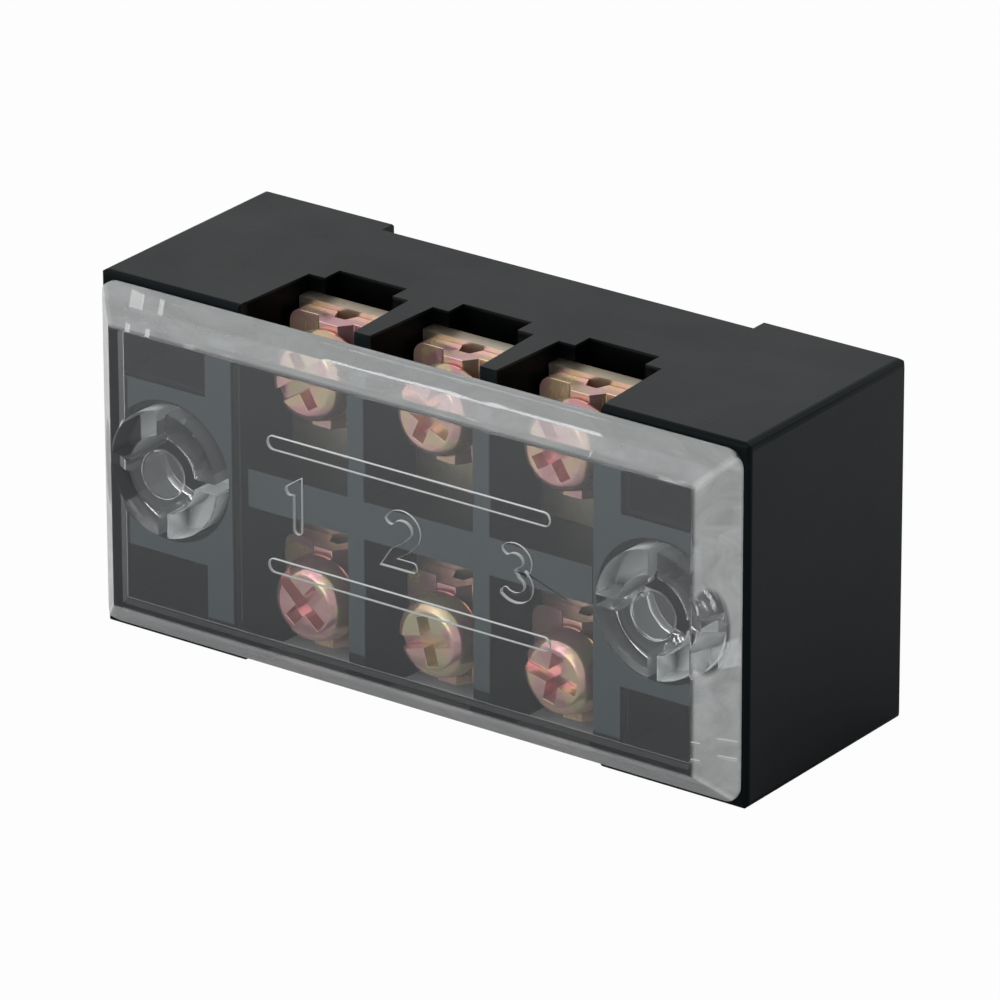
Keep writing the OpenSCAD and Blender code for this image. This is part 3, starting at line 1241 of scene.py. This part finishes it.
        def arc(height: float, rx: float, rz: float, span: Pair, n: int) -> list[Pair]:
            """Points along an elliptic arc about the numeral's middle, its angles in degrees."""
            turns = [math.radians(span[0] + (span[1] - span[0]) * k / n) for k in range(n + 1)]
            return [(rx * math.cos(t), height + rz * math.sin(t)) for t in turns]

        if digit == 1:
            local = [(-0.62, 0.62), (0.22, 1.0), (0.22, -1.0)]
        elif digit == 2:
            bowl = arc(0.42, 0.98, 0.58, (165, -28), 16)
            local = [*bowl, (0.28, -0.26), (-0.56, -0.62), (-0.94, -1.0), (1.05, -1.0)]
        else:
            local = [*arc(0.50, 0.86, 0.50, (152, -62), 14), *arc(-0.46, 0.96, 0.54, (62, -152), 16)]
        return [(x + px * MM, self.mid_z + self.numeral_rise * MM + pz * half) for px, pz in local]

    def build(self) -> Piece:
        """Joins the cover's forms into one closed moulding and dresses it.

        Returns:
            The finished piece.
        """
        cover = self.outer()
        use_tool(cover, self.hollow(), Cut.REMOVE)
        for side in (-1, 1):
            x = side * self.post_centre * MM
            use_tool(cover, self.split_post(x), Cut.ADD)
            use_tool(cover, self.pad(x), Cut.ADD)
        reach = (self.line_half - self.line_width / 2) * MM
        for height in self.line_heights:
            z = self.mid_z + height * MM
            shift = self.line_shift * MM
            line = self.groove("marker_line", ((shift - reach, z), (shift + reach, z)), self.line_width * MM)
            use_tool(cover, line, Cut.REMOVE)
        for digit, place in zip(POLES, self.numeral_places):
            path = self.numeral_path(digit, place * MM)
            use_tool(cover, self.groove(f"numeral_{digit}", path, self.numeral_stroke * MM), Cut.REMOVE)
        smooth(cover, 24)
        return dress(cover, self.finish.build(), "cover", ("clear_cover",))


@dataclass
class ConductorBars:
    """The three flat bars that join an upper and a lower clamp."""

    finish: PlatedBar = field(default_factory=PlatedBar)
    edge_round: float = 0.07 * MM
    hole: float = 1.5 * MM

    def build(self, rows_z: Sequence[float]) -> list[Piece]:
        """Models each bar with its two screw holes.

        Args:
            rows_z: Heights of the two rows of screws.

        Returns:
            The bars.
        """
        material = self.finish.build()
        made = []
        for pole in POLES:
            node = f"conductor_bar_{pole}"
            low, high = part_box(node)
            bar = add_block(f"plated_bar_{pole}", low, high)
            for z in rows_z:
                middle = ((low.x + high.x) / 2, z)
                use_tool(bar, add_rod("drill", middle, self.hole, low.y - MM, high.y + MM, 48), Cut.REMOVE)
            clean_mesh(bar)
            soften(bar, self.edge_round, 2, 40)
            smooth(bar, 40)
            made.append(dress(bar, material, "root", (node,)))
        return made


@dataclass
class ClampPlates:
    """The six square clamp plates with a rib pressed up along the middle. Lengths in millimetres."""

    rib_base: float = 2.5
    rib_top: float = 1.3
    rib_rise: float = 0.8
    thickness: float = 1.1
    rib_wall: float = 0.55
    hole: float = 1.7
    corner: float = 0.8
    edge_round: float = 0.13
    finish: PassivatedZinc = field(
        default_factory=lambda: PassivatedZinc(
            "clamp_zinc",
            ((0.66, 0.36, 0.38), (0.70, 0.43, 0.42), (0.66, 0.46, 0.34), (0.72, 0.52, 0.32)),
            380.0,
            0.20,
        )
    )

    def pattern(self, width: float, height: float) -> Piece:
        """Models one plate about the origin, its back face in y = 0.

        Args:
            width: Its width along X, in metres.
            height: Its height along Z, in metres.

        Returns:
            The plate.
        """
        thick, rise = self.thickness * MM, self.rib_rise * MM
        plate = add_block("clamp_pattern", (-width / 2, -thick, -height / 2), (width / 2, 0, height / 2))
        edit_parts(plate, Part.EDGE, lambda a, b: abs(a.y - b.y) > thick / 2)
        bpy.ops.mesh.bevel(offset=self.corner * MM, segments=6, affect="EDGES")
        leave_edit()
        base, top = self.rib_base / 2 * MM, self.rib_top / 2 * MM
        rib = add_block("rib", (-base, -thick, -height / 2), (base, -thick / 2, height / 2))
        front_faces(rib)
        draw_out(-rise, (top / base, 1, 1), (0, -thick - rise, 0))
        leave_edit()
        use_tool(plate, rib, Cut.ADD)
        wall, over = self.rib_wall * MM, 0.5 * MM
        inner, reach = base - wall, height / 2 + over
        hollow = add_block("rib_hollow", (-inner, 0, -reach), (inner, over, reach))
        front_faces(hollow)
        draw_out(-rise, ((top - wall / 2) / inner, 1, 1), (0, -rise, 0))
        leave_edit()
        use_tool(plate, hollow, Cut.REMOVE)
        use_tool(plate, add_rod("drill", (0, 0), self.hole * MM, -3 * MM, MM, 48), Cut.REMOVE)
        clean_mesh(plate)
        soften(plate, self.edge_round * MM, 3, 25)
        smooth(plate, 40)
        return plate

    def build(self) -> list[Piece]:
        """Copies the plate to its six places.

        Returns:
            The plates.
        """
        low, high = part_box("clamp_plate_upper_1")
        pattern = self.pattern(high.x - low.x, high.z - low.z)
        material = self.finish.build()
        made = []
        for row in ROWS:
            for pole in POLES:
                node = f"clamp_plate_{row}_{pole}"
                low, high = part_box(node)
                place = ((low.x + high.x) / 2, high.y, (low.z + high.z) / 2)
                plate = place_copy(pattern, f"clamp_saddle_{row}_{pole}", place)
                made.append(dress(plate, material, f"clamp_{row}_{pole}", (node,)))
        discard(pattern)
        return made


@dataclass
class TerminalScrews:
    """The six pan-head screws: crowned heads with a slot and a short cross. Lengths in millimetres."""

    head_height: float = 1.8
    head_rings: tuple[Pair, ...] = (
        (2.35, 0.0), (2.53, -0.04), (2.60, -0.16), (2.60, -0.38), (2.57, -0.52), (2.31, -1.30),
        (2.25, -1.42), (2.16, -1.52), (1.93, -1.70), (1.82, -1.77), (1.70, -1.80), (1.20, -1.80),
    )
    slot_stop: float = 1.0
    cross_half: float = 1.5
    shank_radius: float = 1.45
    root_radius: float = 1.17
    shank_length: float = 6.8
    tip_cone: Pair = (0.35, 0.4)
    thread_ends: Pair = (0.3, 0.5)
    flanks: tuple[float, float, float, float] = (0.2, 0.35, 0.85, 1.0)
    neck_sink: float = 0.1
    edge_round: float = 0.06
    pitch: float = 0.5
    slot_width: float = 0.8
    slot_depth: float = 1.0
    turns: tuple[tuple[float, float, float], ...] = ((-32, 24, 58), (41, -15, 12))
    finish: PassivatedZinc = field(
        default_factory=lambda: PassivatedZinc(
            "screw_zinc",
            ((0.66, 0.34, 0.35), (0.70, 0.43, 0.40), (0.72, 0.52, 0.32), (0.60, 0.52, 0.34)),
            300.0,
            0.16,
        )
    )

    def pattern(self) -> Piece:
        """Models one screw about the origin, the back of its head in y = 0, its head towards -Y."""
        head = turned("screw_pattern", (0, 0), [(r * MM, y * MM) for r, y in self.head_rings], 72)
        radius = max(r for r, _ in self.head_rings)
        half, deep = self.slot_width / 2 * MM, (self.slot_depth - self.head_height) * MM
        front = (-self.head_height - 1) * MM
        ends = (-(radius + 1) * MM, (radius - self.slot_stop) * MM)
        slot = add_block("slot", (ends[0], front, -half), (ends[1], deep, half))
        arm = add_block("arm", (-half, front, -self.cross_half * MM), (half, deep, self.cross_half * MM))
        use_tool(slot, arm, Cut.ADD)
        use_tool(head, slot, Cut.REMOVE)
        clean_mesh(head)
        soften(head, self.edge_round * MM, 2, 38)
        use_tool(head, self.thread(), Cut.ADD)
        smooth(head, 38)
        return head

    def thread(self) -> Piece:
        """Models the threaded shank as turned rings at the thread's pitch, with a cone at its tip."""
        crest, root, end = self.shank_radius, self.root_radius, self.shank_length
        rings = [(root - self.tip_cone[0], end), (root, end - self.tip_cone[1])]
        y = end - self.thread_ends[1]
        while y - self.pitch > self.thread_ends[0]:
            shape = zip((crest, crest, root, root), self.flanks)
            rings += [(radius, y - share * self.pitch) for radius, share in shape]
            y -= self.pitch
        rings += [(root, -self.neck_sink)]
        return turned("thread", (0, 0), [(r * MM, v * MM) for r, v in rings], 40)

    def build(self) -> list[Piece]:
        """Copies the screw to its six places, each at its own turn.

        Returns:
            The screws.
        """
        pattern = self.pattern()
        material = self.finish.build()
        made = []
        for row, turns in zip(ROWS, self.turns):
            for pole, turn in zip(POLES, turns):
                node = f"terminal_screw_{row}_{pole}"
                low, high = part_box(node)
                place = ((low.x + high.x) / 2, low.y + self.head_height * MM, (low.z + high.z) / 2)
                screw = place_copy(pattern, f"pan_screw_{row}_{pole}", place, turn)
                made.append(dress(screw, material, f"screw_{row}_{pole}", (node,)))
        discard(pattern)
        return made


# ---------------------------------------------------------------------------
# Studio
# ---------------------------------------------------------------------------


@dataclass(frozen=True)
class Softbox:
    """A square soft lamp that points at the strip."""

    name: str
    place: Point
    size: float
    watts: float

    def build(self, target: Vector) -> None:
        """Adds the lamp, turned to a target."""
        data = bpy.data.lights.new(self.name, "AREA")
        data.shape = "SQUARE"
        data.size = self.size
        data.energy = self.watts
        lamp = bpy.data.objects.new(self.name, data)
        lamp.location = self.place
        lamp.rotation_mode = "QUATERNION"
        lamp.rotation_quaternion = (target - Vector(self.place)).to_track_quat("-Z", "Y")
        bpy.context.scene.collection.objects.link(lamp)


@dataclass
class Studio:
    """The pale table, the soft lamps and the camera."""

    azimuth_deg: float = 36.05069
    elevation_deg: float = 23.06135
    roll_deg: float = -0.16389
    lens_mm: float = 332.27162
    camera_place: Point = (0.28416, -0.38913, 0.21606)
    surround: float = 0.50
    mirrored_surround: float = 0.70
    lamps: tuple[Softbox, ...] = (
        Softbox("key_softbox", (-0.40, -0.29, 0.55), 0.90, 2.3),
        Softbox("front_softbox", (-0.10, -0.75, 0.30), 0.60, 1.8),
    )
    aim: Point = (0.0, 0.0, 0.011)
    table_size: float = 6.0
    sensor_mm: float = 36.0
    floor: PaleFloor = field(default_factory=PaleFloor)

    def table(self) -> None:
        """Adds the table, which isn't part of the strip."""
        clear_selection()
        bpy.ops.mesh.primitive_plane_add(size=self.table_size)
        plane = name_new("pale_table")
        plane.data.materials.append(self.floor.build())

    def surroundings(self) -> None:
        """Sets the even light that comes from all round, white where it is seen."""
        world = bpy.data.worlds.new("studio_surround")
        world.use_nodes = True
        bpy.context.scene.world = world
        bench = NodeBench(world.node_tree)
        background = bench.node("ShaderNodeBackground")
        background.inputs["Color"].default_value = (1.0, 1.0, 1.0, 1)
        path = bench.node("ShaderNodeLightPath")
        mirrored = bench.sum(path.outputs["Is Glossy Ray"], path.outputs["Is Transmission Ray"], "MAXIMUM")
        level = bench.span(mirrored, self.surround, self.mirrored_surround)
        seen = bench.sum(level, path.outputs["Is Camera Ray"], "MAXIMUM")
        bench.link(seen, background.inputs["Strength"])
        bench.link(background.outputs["Background"], bench.node("ShaderNodeOutputWorld").inputs["Surface"])

    def camera(self) -> None:
        """Adds the camera at the viewing angle."""
        data = bpy.data.cameras.new("view_camera")
        data.sensor_fit = "HORIZONTAL"
        data.sensor_width = self.sensor_mm
        data.lens = self.lens_mm
        data.clip_start, data.clip_end = 0.01, 20.0
        az, el, roll = map(math.radians, (self.azimuth_deg, self.elevation_deg, self.roll_deg))
        back = Vector((math.sin(az) * math.cos(el), -math.cos(az) * math.cos(el), math.sin(el)))
        right = Vector((math.cos(az), math.sin(az), 0.0))
        up = back.cross(right)
        across = math.cos(roll) * right + math.sin(roll) * up
        upward = math.cos(roll) * up - math.sin(roll) * right
        turn = Matrix((across, upward, back)).transposed().to_4x4()
        camera = bpy.data.objects.new("view_camera", data)
        camera.matrix_world = Matrix.Translation(self.camera_place) @ turn
        bpy.context.scene.collection.objects.link(camera)
        bpy.context.scene.camera = camera

    def build(self) -> None:
        """Sets the stage, lamps, camera and colour management."""
        self.camera()
        self.table()
        self.surroundings()
        for lamp in self.lamps:
            lamp.build(Vector(self.aim))
        bpy.context.scene.view_settings.view_transform = "Standard"


def report(name: str, pieces: Sequence[Piece]) -> None:
    """Logs each piece with its face count.

    Args:
        name: The sub-assembly's name.
        pieces: Its finished pieces.
    """
    for piece in pieces:
        LOG.info("%s: %s, %d faces", name, piece.name, len(piece.data.polygons))


def main() -> None:
    """Builds the studio and the strip's sub-assemblies in order."""
    logging.basicConfig(level=logging.INFO, format="%(name)s %(message)s")
    Studio().build()
    rows_z = []
    for row in ROWS:
        low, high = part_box(f"clamp_plate_{row}_1")
        rows_z.append((low.z + high.z) / 2)
    report("housing", [Housing().build()])
    report("conductor bars", ConductorBars().build(rows_z))
    report("clamp plates", ClampPlates().build())
    report("screws", TerminalScrews().build())
    report("cover", [ClearCover().build()])
    clear_selection()


if __name__ == "__main__":
    main()
